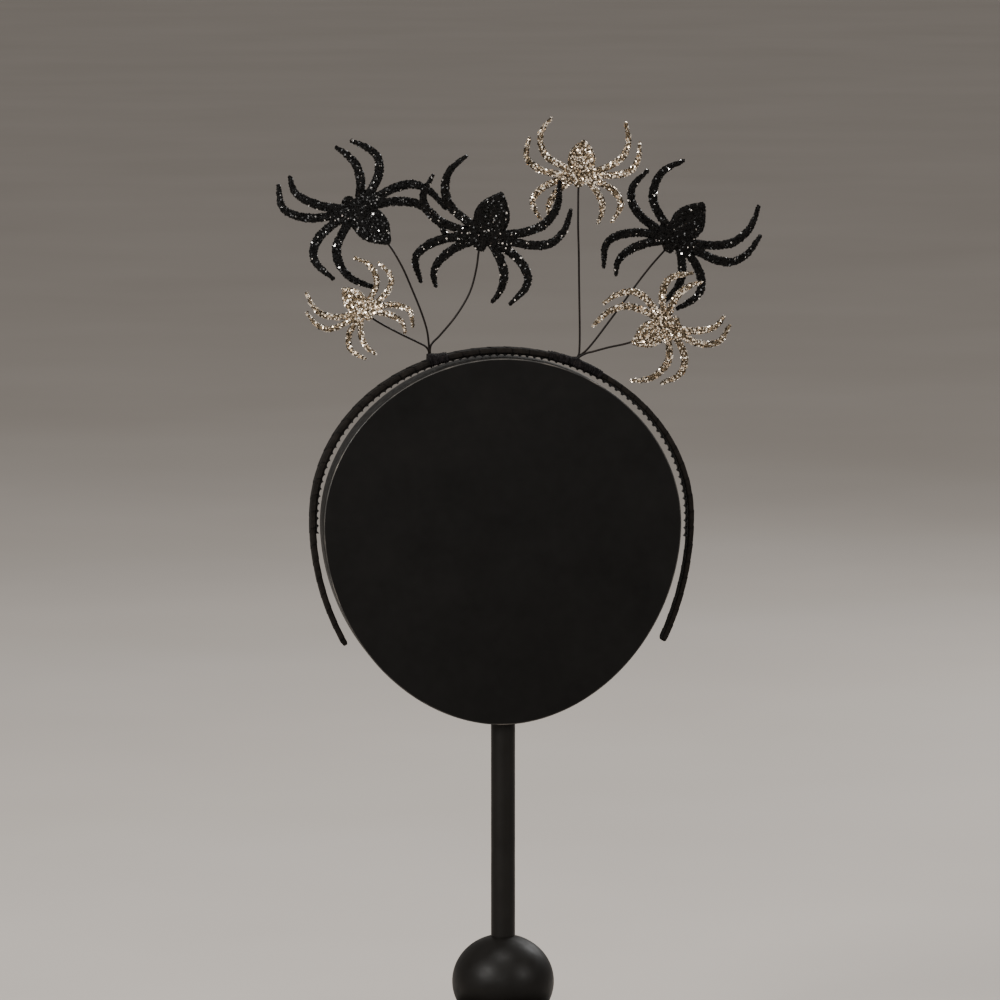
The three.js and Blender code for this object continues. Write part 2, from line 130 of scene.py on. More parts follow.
# The eight legs from root to tip, as (across, ahead) in hundredths of the span.
# Across is positive to the spider's right and ahead is positive towards its head.
LEGS = (
    ((12, -3), (28.5, -9), (36.5, -19), (38, -32), (31.5, -45.5)),
    ((14, 3), (31, 3.5), (43, -1), (48.5, -9.5), (47.5, -24)),
    ((13, 7), (25.5, 14.5), (34.5, 24.5), (37, 35), (28, 47.5)),
    ((7, 8), (15.5, 17), (21.5, 28.5), (22.5, 38), (17.5, 46.5)),
    ((-14, -6), (-25.5, -13), (-35, -23.5), (-38, -38), (-33, -54)),
    ((-16, -2), (-32, -5.5), (-43.5, -12), (-48.5, -24), (-47.5, -38.5)),
    ((-16, 3.5), (-29, 8), (-38, 16.5), (-38.5, 26), (-33.5, 38)),
    ((-9, 6), (-17, 13), (-22.5, 21.5), (-24, 31), (-22, 41.5)),
)
LEG_HIP_SHARE = 0.4

# Leg width from root to tip, as (share of the length, hundredths of the span)
LEG_WIDTHS = ((0, 5.2), (0.5, 5.8), (0.8, 4.2), (1, 2.2))

# Rounding of a leg's tip, as (reach past the last point, width) against the half width and width there
LEG_TIP = ((0.55, 0.8), (0.95, 0.45))

# Body outline from the pointed abdomen to the head, as (ahead, half width) in hundredths of the span
BODY = (
    (-31.5, 0.8),
    (-26, 6),
    (-20, 10.2),
    (-14, 11.8),
    (-8, 11.2),
    (-2, 9.5),
    (3.5, 8),
    (6, 5.4),
    (7.4, 3.9),
    (9.2, 4.3),
    (11, 3),
    (11.8, 0.8),
)

# Where a stem runs in behind the plate: past the edge of the head or of the tail
STEM_ENTRY = {"head": 10.4, "tail": -31.5}

# Legs of the small spiders against those of the large ones
SMALL_LEG_SHARE = 0.93

# Spray of spiders: height of the topmost spider's middle above the root of its stem
SPRAY_HEIGHT = 72.6 * MM

# The two bundles: place on the band as a share of its half width, reach of the binding along
# the band before and after that root, and its thickness over the band in mm at shares of that reach
BUNDLES = {
    "left": {
        "across": -0.3755,
        "before": 0.9 * MM,
        "after": 6.8 * MM,
        "over": ((0, 0.4), (0.05, 2), (0.16, 2.4), (0.34, 1.5), (0.55, 0.8), (1, 0.25)),
    },
    "right": {
        "across": 0.3755,
        "before": 11 * MM,
        "after": 11 * MM,
        "over": ((0, 0.1), (0.1, 0.3), (0.42, 0.4), (0.5, 1.1), (0.6, 0.5), (1, 0.15)),
    },
}

# The six stems. Places are (across, up) from the root of the bundle and depths are towards the back,
# all in hundredths of the spray's height. Turns are in degrees.
STEMS = (
    {
        "name": "a", "bundle": "left", "lane": 1, "large": True, "share": 1.01, "flipped": True,
        "held": "tail", "centre": (-39.1, 80), "depth": 2.8,
        "heading": 44.3, "nod": -14.6, "roll": 23.7,
        "way": ((-0.6, 7.2), (-1.7, 15.7), (-5.4, 27.1), (-10.2, 38.7), (-16.1, 51.4)),
    },
    {
        "name": "b", "bundle": "left", "lane": 0, "large": True, "share": 1, "flipped": False,
        "held": "head", "centre": (28.8, 67.2), "depth": -5.5,
        "heading": 159.5, "nod": -13.6, "roll": 8.5,
        "way": ((0.3, 7.4), (5.1, 12.7), (12.3, 21.3), (18.6, 30.9), (21.9, 37.9), (24.8, 49.3)),
    },
    {
        "name": "c", "bundle": "left", "lane": -1, "large": False, "share": 0.81, "flipped": True,
        "held": "head", "centre": (-37.7, 28.1), "depth": -17.9,
        "heading": -138.2, "nod": 10.6, "roll": 21.7,
        "way": ((-2.2, 6.6), (-7.6, 9.8), (-17.2, 14.7)),
    },
    {
        "name": "d", "bundle": "right", "lane": 1, "large": False, "share": 0.97, "flipped": False,
        "held": "head", "centre": (2.2, 100), "depth": 2.8,
        "heading": 174.2, "nod": -18.1, "roll": 14.6,
        "way": ((1.7, 3.3), (2.1, 7), (2.2, 35.7), (1.9, 62.7), (1.8, 82.1)),
    },
    {
        "name": "e", "bundle": "right", "lane": 0, "large": True, "share": 0.965, "flipped": False,
        "held": "head", "centre": (54.7, 65), "depth": 5.5,
        "heading": 141, "nod": -1.4, "roll": -9.1,
        "way": ((1.5, 2.2), (5.8, 5.4), (24.1, 28.4), (40.6, 49.3)),
    },
    {
        "name": "f", "bundle": "right", "lane": -1, "large": False, "share": 1.02, "flipped": False,
        "held": "tail", "centre": (47.7, 18.9), "depth": -8.3,
        "heading": -62.9, "nod": 1.1, "roll": 24.7,
        "way": ((2.2, 2.5), (6.2, 4.4), (8.1, 4.8), (16.5, 7.2)),
    },
)

# Glitter flakes: size from corner to corner, height over the skin, lean in radians and number
FLAKE_SIZES = (0.42 * MM, 0.95 * MM)
FLAKE_LIFTS = (0.02 * MM, 0.16 * MM)
FLAKE_SIDES = 6
FLAKE_LEAN = 0.4
FLAKES_PER_MM2 = 2.8
KIND_SEED = 100

# Shares of the kinds of flake: black, smoke and silver, and gold, pale and bronze
BLACK_SHARES = (0.945, 0.02, 0.035)
GOLD_SHARES = (0.26, 0.47, 0.27)

# The camera: turned left of the board's normal and looking a little down, far off with a long lens
CAMERA_TURN = math.radians(6.5)
CAMERA_ELEVATION = math.radians(6)
CAMERA_DISTANCE = 3
CAMERA_AIM = Vector((-1.2, 0, 228.6)) * MM
FRAME_WIDTH = 390 * MM
SENSOR_WIDTH_MM = 36

# The stage: floor, even light from all round, and lamps as (name, place, size, power, colour)
FLOOR_REACH = 30
WORLD_COLOUR = (1, 0.95, 0.9, 1)
WORLD_STRENGTH = 0.3
LAMPS = (
    ("key", (-1.25, -1.05, 1.0), 0.7, 34, (1, 0.98, 0.95)),
    ("fill", (1.3, -1.3, 1.0), 0.55, 16, (1, 0.98, 0.96)),
    ("top", (-0.1, -0.5, 2.0), 0.8, 16, (1, 0.99, 0.97)),
    ("rim", (1.0, 1.2, 1.1), 0.7, 12, (1, 1, 1)),
    ("front", (-0.5, -2.6, 0.9), 0.35, 8, (1, 0.99, 0.97)),
)

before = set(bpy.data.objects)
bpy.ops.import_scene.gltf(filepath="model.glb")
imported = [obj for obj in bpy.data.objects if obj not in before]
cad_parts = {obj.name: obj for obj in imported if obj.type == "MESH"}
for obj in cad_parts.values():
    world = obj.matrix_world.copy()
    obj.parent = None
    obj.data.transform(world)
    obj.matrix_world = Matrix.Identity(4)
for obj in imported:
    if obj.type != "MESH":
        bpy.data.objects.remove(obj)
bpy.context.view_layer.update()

board_low, board_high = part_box("stand_board")
band_low, band_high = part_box("band")
base_low, base_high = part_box("stand_base")
ball_low, ball_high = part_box("stand_ball")
post_low, post_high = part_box("stand_post")
comb_low, comb_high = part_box("comb")

board_middle = board_high.z - BOARD_RISE
spring_line = board_middle + BAND_SPRING_ABOVE
band_half_thickness = BAND_THICKNESS / 2


# Meshes


def link(thing):
    """Puts an object into the scene."""
    bpy.context.scene.collection.objects.link(thing)


def add_piece(name, vertices, faces, materials, slot, node, face_materials=None, smooth=None):
    """Makes a mesh object that rides on the part and takes a CAD node's place."""
    mesh = bpy.data.meshes.new(name)
    mesh.from_pydata([tuple(v) for v in vertices], [], [tuple(f) for f in faces])
    for material in materials:
        mesh.materials.append(material)
    mesh.polygons.foreach_set("use_smooth", smooth or [True] * len(faces))
    if face_materials:
        mesh.polygons.foreach_set("material_index", face_materials)
    mesh.update()
    piece = bpy.data.objects.new(name, mesh)
    link(piece)
    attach(piece, "root")
    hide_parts(node)
    return piece


def loft(rings, closed=False):
    """Skin over rings of points, with flat ends unless the rings close on themselves."""
    count = len(rings[0])
    vertices = [point for ring in rings for point in ring]
    faces = []
    for ring in range(len(rings) if closed else len(rings) - 1):
        near = ring * count
        far = (ring + 1) % len(rings) * count
        for side in range(count):
            after = (side + 1) % count
            faces.append((near + side, near + after, far + after, far + side))
    if not closed:
        last = (len(rings) - 1) * count
        faces.append(tuple(reversed(range(count))))
        faces.append(tuple(last + side for side in range(count)))
    return vertices, faces


def join(parts):
    """Vertices and faces of several parts as one mesh."""
    vertices, faces = [], []
    for part_vertices, part_faces in parts:
        start = len(vertices)
        vertices += list(part_vertices)
        faces += [tuple(start + corner for corner in face) for face in part_faces]
    return vertices, faces


def lathe(profile, sides):
    """Solid of revolution round Z from (radius, height) pairs that start and end on the axis."""
    rings = []
    for radius, height in profile[1:-1]:
        angles = [2 * math.pi * side / sides for side in range(sides)]
        rings.append([Vector((radius * math.cos(a), radius * math.sin(a), height)) for a in angles])
    return loft(rings)


def tube(points, radius, sides, closed=False):
    """Round tube along a line of points."""
    points = [Vector(point) for point in points]
    count = len(points)
    rings = []
    side_axis = None
    for index, point in enumerate(points):
        before = points[index - 1] if closed or index else point
        after = points[(index + 1) % count] if closed or index + 1 < count else point
        along = (after - before).normalized()
        if side_axis is None:
            side_axis = along.orthogonal().normalized()
        side_axis = (side_axis - along * side_axis.dot(along)).normalized()
        up_axis = along.cross(side_axis)
        ring = []
        for side in range(sides):
            angle = 2 * math.pi * side / sides
            ring.append(point + (side_axis * math.cos(angle) + up_axis * math.sin(angle)) * radius)
        rings.append(ring)
    return loft(rings, closed=closed)


def catmull_rom(points, steps):
    """Smooth line through points, with a number of steps between neighbours."""
    points = [Vector(point) for point in points]
    padded = [points[0], *points, points[-1]]
    line = []
    for index in range(1, len(padded) - 2):
        a, b, c, d = padded[index - 1 : index + 3]
        square = 2 * a - 5 * b + 4 * c - d
        cube = 3 * b - a - 3 * c + d
        for step in range(steps):
            t = step / steps
            line.append(0.5 * (2 * b + (c - a) * t + square * t * t + cube * t**3))
    line.append(points[-1])
    return line


def superellipse(angle, fullness):
    """Across and up at an angle, for half axes of 1."""
    across = abs(math.cos(angle)) ** (2 / fullness)
    up = abs(math.sin(angle)) ** (2 / fullness)
    return math.copysign(across, math.cos(angle)), up


# The hair band's own line


class BandLine:
    """Middle line of the band, from the tip of the left leg over the top to the tip of the right."""

    LEG_STEPS = 60
    ARCH_STEPS = 360
    ROOT_STEPS = 2000

    def __init__(self):
        self.half_width = (band_high.x - band_low.x) / 2 - band_half_thickness
        self.aside = (band_high.x + band_low.x) / 2
        self.rise = band_high.z - band_half_thickness - spring_line
        self.leg_drop = spring_line - band_low.z
        leg_shares = [step / self.LEG_STEPS for step in range(self.LEG_STEPS + 1)]
        line = [self.leg(-1, BAND_LEFT_LEG_RADIUS, 1 - share) for share in leg_shares[:-1]]
        line += [self.arch(step / self.ARCH_STEPS) for step in range(self.ARCH_STEPS)]
        line += [self.leg(1, BAND_RIGHT_LEG_RADIUS, share) for share in leg_shares]
        self.points = np.array(line)
        steps = np.linalg.norm(np.diff(self.points, axis=0), axis=1)
        self.lengths = np.concatenate([[0], np.cumsum(steps)])
        self.length = self.lengths[-1]
        self.arch_start = self.lengths[self.LEG_STEPS]
        self.arch_end = self.lengths[self.LEG_STEPS + self.ARCH_STEPS]

    def leg(self, side, radius, share):
        """Point on a leg, at a share of its way down from the spring line."""
        angle = share * math.asin(self.leg_drop / radius)
        across = self.half_width - radius * (1 - math.cos(angle))
        return self.aside + side * across, spring_line - radius * math.sin(angle)

    def arch(self, share):
        """Point on the arch, at a share of its way from left to right."""
        fullness = BAND_LEFT_FULLNESS if share < 0.5 else BAND_RIGHT_FULLNESS
        across, up = superellipse(math.pi * (1 - share), fullness)
        return self.aside + across * self.half_width, spring_line + up * self.rise

    def middle(self, along):
        """Across and up of the middle line at a length along it."""
        return np.array([np.interp(along, self.lengths, self.points[:, axis]) for axis in (0, 1)])

    def at(self, along, outside=0, depth=0):
        """Point at a length along the band, at a height outside its middle line and at a depth."""
        reach = 0.5 * MM
        x, z = self.middle(along)
        dx, dz = self.middle(along + reach) - self.middle(along - reach)
        size = math.hypot(dx, dz)
        return Vector((x - dz / size * outside, depth, z + dx / size * outside))

    def root(self, bundle):
        """Length along the band at which a bundle stands."""
        across = bundle["across"] * (band_high.x - band_low.x) / 2
        lengths = np.linspace(self.arch_start, self.arch_end, self.ROOT_STEPS)
        return next(along for along in lengths if self.middle(along)[0] >= across)


band_line = BandLine()


def section_ring(half_depth, half_height, corner, corner_steps=3, face_steps=4):
    """Rounded rectangle round the band, as (depth, height) pairs."""
    ring = []
    signs = ((1, 1), (-1, 1), (-1, -1), (1, -1))
    for index, (side, up) in enumerate(signs):
        for step in range(corner_steps + 1):
            angle = math.pi / 2 * (index + step / corner_steps)
            depth = side * (half_depth - corner) + corner * math.cos(angle)
            height = up * (half_height - corner) + corner * math.sin(angle)
            ring.append((depth, height))
        next_side, next_up = signs[(index + 1) % 4]
        turn = math.pi / 2 * (index + 1)
        start = ring[-1]
        end = (
            next_side * (half_depth - corner) + corner * math.cos(turn),
            next_up * (half_height - corner) + corner * math.sin(turn),
        )
        for step in range(1, face_steps):
            share = step / face_steps
            depth = start[0] + (end[0] - start[0]) * share
            height = start[1] + (end[1] - start[1]) * share
            ring.append((depth, height))
    return ring


# Materials


def new_material(name, roughness, metallic=0, ior=1.5, sheen=0):
    """Principled material with its fixed values set on the shader itself."""
    material = bpy.data.materials.new(name)
    material.use_nodes = True
    tree = material.node_tree
    shader = tree.nodes["Principled BSDF"]
    shader.inputs["Roughness"].default_value = roughness
    shader.inputs["Metallic"].default_value = metallic
    shader.inputs["IOR"].default_value = ior
    shader.inputs["Sheen Weight"].default_value = sheen
    shader.inputs["Sheen Roughness"].default_value = 0.4
    return material, tree, shader


def field(tree, scale, detail, stretch=(1, 1, 1)):
    """Noise over the surface, between 0 and 1. The scale is in features per metre."""
    place = tree.nodes.new("ShaderNodeTexCoord")
    mapping = tree.nodes.new("ShaderNodeMapping")
    mapping.inputs["Scale"].default_value = stretch
    texture = tree.nodes.new("ShaderNodeTexNoise")
    texture.inputs["Scale"].default_value = scale
    texture.inputs["Detail"].default_value = detail
    tree.links.new(place.outputs["Object"], mapping.inputs["Vector"])
    tree.links.new(mapping.outputs["Vector"], texture.inputs["Vector"])
    return texture.outputs["Fac"]


def cells(tree, scale):
    """Small cells over the surface, each with a random colour."""
    place = tree.nodes.new("ShaderNodeTexCoord")
    texture = tree.nodes.new("ShaderNodeTexVoronoi")
    texture.inputs["Scale"].default_value = scale
    tree.links.new(place.outputs["Object"], texture.inputs["Vector"])
    return texture.outputs["Color"]


def ramp(tree, value, stops):
    """Colours or grey levels for a value, from (position, colour) pairs."""
    node = tree.nodes.new("ShaderNodeValToRGB")
    tree.links.new(value, node.inputs["Fac"])
    elements = node.color_ramp.elements
    while len(elements) < len(stops):
        elements.new(0.5)
    for element, (position, colour) in zip(elements, stops):
        element.position = position
        element.color = (*colour, 1) if isinstance(colour, tuple) else (colour, colour, colour, 1)
    return node.outputs["Color"]


def maths(tree, operation, *values):
    """One sum on values, each of them a number or another node's output."""
    node = tree.nodes.new("ShaderNodeMath")
    node.operation = operation
    for socket, value in zip(node.inputs, values):
        if isinstance(value, (int, float)):
            socket.default_value = value
        else:
            tree.links.new(value, socket)
    return node.outputs[0]


def mix_colours(tree, share, first, second):
    """Mix of two colours, each of them fixed or another node's output."""
    node = tree.nodes.new("ShaderNodeMix")
    node.data_type = "RGBA"
    tree.links.new(share, node.inputs[0])
    for socket, colour in ((node.inputs[6], first), (node.inputs[7], second)):
        if isinstance(colour, tuple):
            socket.default_value = (*colour, 1)
        else:
            tree.links.new(colour, socket)
    return node.outputs[2]


def tint(tree, shader, value, stops):
    """Base colour from the stops of a ramp."""
    tree.links.new(ramp(tree, value, stops), shader.inputs["Base Color"])


def vary_roughness(tree, shader, value, stops):
    """Roughness from the stops of a ramp."""
    tree.links.new(ramp(tree, value, stops), shader.inputs["Roughness"])


def bump(tree, shader, height, distance, strength):
    """Relief on top of what relief the shader already has."""
    node = tree.nodes.new("ShaderNodeBump")
    node.inputs["Strength"].default_value = strength
    node.inputs["Distance"].default_value = distance
    tree.links.new(height, node.inputs["Height"])
    previous = shader.inputs["Normal"].links
    if previous:
        tree.links.new(previous[0].from_socket, node.inputs["Normal"])
    tree.links.new(node.outputs["Normal"], shader.inputs["Normal"])


def winding_phase(tree):
    """Turn number at each place, where whole numbers are the ribbon's edges, and share of the way round."""
    place = tree.nodes.new("ShaderNodeUVMap")
    place.uv_map = "winding"
    split = tree.nodes.new("ShaderNodeSeparateXYZ")
    tree.links.new(place.outputs["UV"], split.inputs["Vector"])
    return split.outputs["X"], split.outputs["Y"]


def ribbon_material():
    """Black cloth with fine ribs across it, with painted shade darkening the grooves between its turns."""
    material, tree, shader = new_material("ribbon", roughness=0.7, ior=1.19, sheen=0.01)
    turn, round_share = winding_phase(tree)
    within = maths(tree, "FRACT", turn)
    to_edge = maths(tree, "MINIMUM", within, maths(tree, "SUBTRACT", 1.0, within))
    # Painted shade: the colour falls to near black at each turn's edge, where the groove between turns lies
    # in shade.
    edge = ramp(tree, to_edge, ((0, 0.0), (0.05, 1.0)))
    mottle = field(tree, 420, 4)
    cloth = ramp(tree, mottle, ((0.3, (0.0036, 0.0028, 0.0023)), (0.72, (0.0098, 0.0077, 0.0062))))
    colour = mix_colours(tree, edge, (0.002, 0.0017, 0.0018), cloth)
    tree.links.new(colour, shader.inputs["Base Color"])
    ribs = maths(tree, "SINE", maths(tree, "MULTIPLY", round_share, 2 * math.pi * RIBS_ROUND_BAND))
    bump(tree, shader, ribs, 0.03 * MM, 0.5)
    bump(tree, shader, field(tree, 900, 3), 0.12 * MM, 0.7)
    bump(tree, shader, field(tree, 3200, 2), 0.04 * MM, 0.6)
    return material


def mottled(name, roughness, ior, tone, stops, shine, relief, sheen=0):
    """Mottled material. The tone and each layer of relief start with the numbers of a field."""
    material, tree, shader = new_material(name, roughness, ior=ior, sheen=sheen)
    tint(tree, shader, field(tree, *tone), stops)
    if shine:
        scale, detail, low, high = shine
        vary_roughness(tree, shader, field(tree, scale, detail), ((0.3, low), (0.7, high)))
    for texture, depth, strength in relief:
        bump(tree, shader, field(tree, *texture), depth * MM, strength)
    return material


def binding_material():
    """Black thread, fluffy at its finest."""
    stops = ((0.35, (0.0025, 0.002, 0.0022)), (0.6, (0.0075, 0.006, 0.0068)), (0.8, (0.022, 0.017, 0.015)))
    relief = (((1600, 3), 0.15, 0.8), ((5000, 2), 0.04, 0.6))
    return mottled("binding", 0.6, 1.18, (700, 4), stops, None, relief, sheen=0.01)


def comb_material():
    """Plain black plastic."""
    stops = ((0.3, (0.003, 0.0027, 0.0027)), (0.7, (0.007, 0.006, 0.006)))
    relief = (((2500, 2), 0.03, 0.5),)
    return mottled("comb", 0.5, 1.35, (300, 3), stops, (1200, 2, 0.42, 0.62), relief)


def wire_material():
    """Black-brown lacquer, lighter where it is rubbed."""
    stops = ((0.3, (0.0035, 0.0024, 0.002)), (0.6, (0.0075, 0.005, 0.004)), (0.85, (0.022, 0.014, 0.011)))
    relief = (((4000, 2), 0.03, 0.5),)
    return mottled("wire", 0.45, 1.22, (260, 3), stops, (1500, 2, 0.28, 0.5), relief)


def board_material():
    """The board's faces: flat black paint, brushed on."""
    stops = ((0.3, (0.004, 0.0037, 0.0035)), (0.7, (0.0056, 0.0052, 0.0049)))
    relief = (((1400, 4), 0.05, 0.5), ((90, 3), 0.1, 0.25))
    return mottled("board", 0.8, 1.17, (60, 6), stops, (220, 4, 0.74, 0.88), relief)


def painted_light_rim_material():
    """The board's side, brushed with the same paint but coloured lighter than the faces, as painted light
    falling on the side.
    """
    stops = ((0.35, (0.006, 0.0055, 0.005)), (0.75, (0.013, 0.0115, 0.01)))
    relief = (((1400, 3), 0.05, 0.5),)
    return mottled("board_rim_painted_light", 0.65, 1.3, (240, 5, (1, 0.3, 1)), stops, (500, 3, 0.4, 0.6), relief)


def painted_edge_highlight_material():
    """The board's rounded corners, painted lighter in patches as a painted highlight where the rounding
    catches the light.
    """
    stops = ((0.4, (0.012, 0.011, 0.01)), (0.56, (0.035, 0.031, 0.027)), (0.72, (0.1, 0.088, 0.075)))
    relief = (((1400, 3), 0.05, 0.5),)
    return mottled("board_painted_edge_highlight", 0.5, 1.45, (130, 5), stops, (500, 3, 0.4, 0.65), relief)


def turned_material():
    """Satin black paint over the fine rings that a lathe leaves."""
    stops = ((0.3, (0.003, 0.0025, 0.002)), (0.7, (0.0058, 0.005, 0.0042)))
    relief = (((900, 2, (0.02, 0.02, 1)), 0.04, 0.4), ((1500, 3), 0.03, 0.4))
    return mottled("turned", 0.42, 1.25, (70, 5), stops, (180, 5, 0.36, 0.52), relief)


def plate_material(name, dark, light, metallic, roughness, ior=1.5):
    """Card under the flakes, itself covered with the finest glitter."""
    material, tree, shader = new_material(name, roughness=roughness, metallic=metallic, ior=ior)
    split = tree.nodes.new("ShaderNodeSeparateColor")
    tree.links.new(cells(tree, 2600), split.inputs["Color"])
    tint(tree, shader, split.outputs[0], ((0.1, dark), (0.9, light)))
    vary_roughness(tree, shader, split.outputs[1], ((0, roughness - 0.1), (1, roughness + 0.2)))
    bump(tree, shader, split.outputs[2], 0.12 * MM, 0.9)
    return material


def flake_material(name, dark, light, metallic, roughness, ior=1.5):
    """One kind of flake, a little different from flake to flake."""
    material, tree, shader = new_material(name, roughness=roughness, metallic=metallic, ior=ior)
    tint(tree, shader, field(tree, 1500, 1), ((0.35, dark), (0.65, light)))
    stops = ((0.3, roughness * 0.7), (0.7, roughness * 1.3))
    vary_roughness(tree, shader, field(tree, 2100, 1), stops)
    return material


# Stand


def arc(radius, steps, start_degrees, end_degrees):
    """Offsets along a part of a circle, as (across, up) pairs."""
    offsets = []
    for step in range(steps + 1):
        angle = math.radians(start_degrees + (end_degrees - start_degrees) * step / steps)
        offsets.append((radius * math.cos(angle), radius * math.sin(angle)))
    return offsets


def add_ball(material):
    """Flattened turned ball, cut off flat where the post comes out of it."""
    radius = (ball_high.x - ball_low.x) / 2
    half = (ball_high.z - ball_low.z) / 2
    middle = (ball_high.z + ball_low.z) / 2
    rise = half / math.cos(math.asin((post_high.x + CLEARANCE) / radius))
    profile = [(0, middle - half)]
    start = math.asin(post_high.x / radius)
    for step in range(BALL_STEPS + 1):
        angle = start + (math.pi - 2 * start) * step / BALL_STEPS
        profile.append((radius * math.sin(angle), middle - rise * math.cos(angle)))
    profile.append((0, middle + half))
    add_piece("ball_turned", *lathe(profile, BALL_SIDES), [material], "turned", "stand_ball")


def add_base(material):
    """Round foot with a rounded shoulder and a short neck."""
    radius = base_high.x
    neck = NECK_DIAMETER / 2
    top = base_high.z
    shoulder = top - NECK_HEIGHT
    profile = [(0, 0), (radius - BASE_FOOT_CHAMFER, 0), (radius, BASE_FOOT_CHAMFER)]
    for across, up in arc(BASE_EDGE_ROUND, 12, 0, 90):
        profile.append((radius - BASE_EDGE_ROUND + across, shoulder - BASE_EDGE_ROUND + up))
    for across, up in arc(NECK_FLARE, 8, 270, 180):
        profile.append((neck + NECK_FLARE + across, shoulder + NECK_FLARE + up))
    cut = NECK_LIP * NECK_LIP_CUT
    profile += [(neck, top - NECK_LIP), (neck - cut, top - cut), (neck - NECK_LIP, top), (0, top)]
    add_piece("base_turned", *lathe(profile, BASE_SIDES), [material], "turned", "stand_base")


def add_post(material):
    """Thin dowel, a touch uneven between its ends."""
    radius = post_high.x
    profile = [(0, post_low.z), (radius, post_low.z)]
    for step in range(1, POST_STEPS):
        height = post_low.z + (post_high.z - post_low.z) * step / POST_STEPS
        waver = POST_WAVER * noise.noise(Vector((0, 0, height * POST_WAVES_PER_METRE)))
        profile.append((radius * (POST_WAIST + waver), height))
    profile += [(radius, post_high.z), (0, post_high.z)]
    add_piece("post_turned", *lathe(profile, POST_SIDES), [material], "turned", "stand_post")


def board_outline():
    """Corners of the egg shape, and the direction inwards from each of them."""
    half_width = (board_high.x - board_low.x) / 2
    aside = (board_high.x + board_low.x) / 2
    drop = board_middle - board_low.z
    corners = []
    for side in range(BOARD_SIDES):
        angle = 2 * math.pi * side / BOARD_SIDES
        above = angle < math.pi
        across, up = superellipse(angle, BOARD_RISE_FULLNESS if above else BOARD_DROP_FULLNESS)
        height = up * BOARD_RISE if above else -up * drop
        corners.append(Vector((aside + across * half_width, 0, board_middle + height)))
    inwards = []
    for side in range(BOARD_SIDES):
        along = corners[(side + 1) % BOARD_SIDES] - corners[side - 1]
        inwards.append(Vector((-along.z, 0, along.x)).normalized())
    return corners, inwards


def board_edge_profile():
    """Inset and depth from one face's edge to the other's, over both rounded corners."""
    half_depth = board_high.y
    corner = []
    for step in range(BOARD_EDGE_STEPS + 1):
        angle = math.pi / 2 * step / BOARD_EDGE_STEPS
        inset = BOARD_EDGE_ROUND * (1 - math.sin(angle))
        corner.append((inset, half_depth - BOARD_EDGE_ROUND * (1 - math.cos(angle))))
    side = [(BOARD_SIDE_INSET, half_depth * share) for share in BOARD_SIDE_SHARES]
    return [*corner, *side, *((inset, -depth) for inset, depth in reversed(corner))]


def add_board(face, side, corner):
    """Egg-shaped board with rounded edges. The materials are of its faces, its side and its corners."""
    corners, inwards = board_outline()
    rings = []
    for inset, depth in board_edge_profile():
        shift = Vector((0, depth, 0))
        rings.append([point + inward * inset + shift for point, inward in zip(corners, inwards)])
    corner_kinds = [2] * (BOARD_EDGE_STEPS * BOARD_SIDES)
    side_kinds = [1] * ((len(BOARD_SIDE_SHARES) + 1) * BOARD_SIDES)
    kinds = [*corner_kinds, *side_kinds, *corner_kinds, 0, 0]
    materials = [face, side, corner]
    board = add_piece("board_painted", *loft(rings), materials, "board", "stand_board", face_materials=kinds)
    board.data.set_sharp_from_angle(angle=math.radians(50))


# Headband


def winding_rows():
    """Rows of points along the ribbon, as (row, share of its turn), with two where a turn ends."""
    last = math.ceil(band_line.length / RIBBON_PITCH * RIBBON_ROWS) + 1
    rows = []
    for row in range(-RIBBON_ROWS - 1, last + 1):
        if row % RIBBON_ROWS == 0:
            rows.append((row, 1.0))
        rows.append((row, row % RIBBON_ROWS / RIBBON_ROWS))
    return rows


def crease(here, share):
    """Depth of the ribbon's creases, at a number of turns along the band and a share of the way round it."""
    coarse = noise.noise(Vector((here * 1.9, share * 5, 0)))
    fine = noise.noise(Vector((here * 5.5, share * 17, 3)))
    return coarse * 0.6 + fine * 0.4


def tip_size(to_tip):
    """Size of the band's section against its full size, at a length from a tip."""
    return BAND_TIP_SIZE + (1 - BAND_TIP_SIZE) * math.sqrt(min(1, to_tip / BAND_TIP_REACH))


def ribbon_ring(row, within, ring, shares):
    """Points of one row of the ribbon round the band."""
    turn = row // RIBBON_ROWS - (1 if within == 1 else 0)
    wander = RIBBON_WANDER * noise.noise(Vector((turn * 3.7, 1.3, 8.2)))
    to_edge = 1 - min(within, 1 - within) * 2
    points = []
    for share, (depth, height) in zip(shares, ring):
        here = row / RIBBON_ROWS + share
        skew = wander * to_edge * math.sin(share * 2 * math.pi) * RIBBON_SKEW
        along = min(max((here + skew) * RIBBON_PITCH, 0), band_line.length)
        to_tip = min(along, band_line.length - along)
        grow = tip_size(to_tip)
        if to_tip > 0:
            lift = RIBBON_CRINKLE * (crease(here, share) - RIBBON_SINK) - RIBBON_STEP * within**RIBBON_FALL
            grow += lift / math.hypot(depth, height)
        points.append(band_line.at(along, height * grow, depth * min(grow, 1)))
    return points, [(turn + within, share) for share in shares]


def winding_faces(row_count, count):
    """Faces between the rows. The last point of a row meets the first of the row one turn further on."""
    faces = []
    for index in range(row_count - 1):
        near, far = index * count, (index + 1) * count
        for side in range(count - 1):
            faces.append((near + side, near + side + 1, far + side + 1, far + side))
        next_turn = index + RIBBON_ROWS + 1
        if next_turn + 1 < row_count:
            faces.append((near + count - 1, next_turn * count, (next_turn + 1) * count, far + count - 1))
    return faces


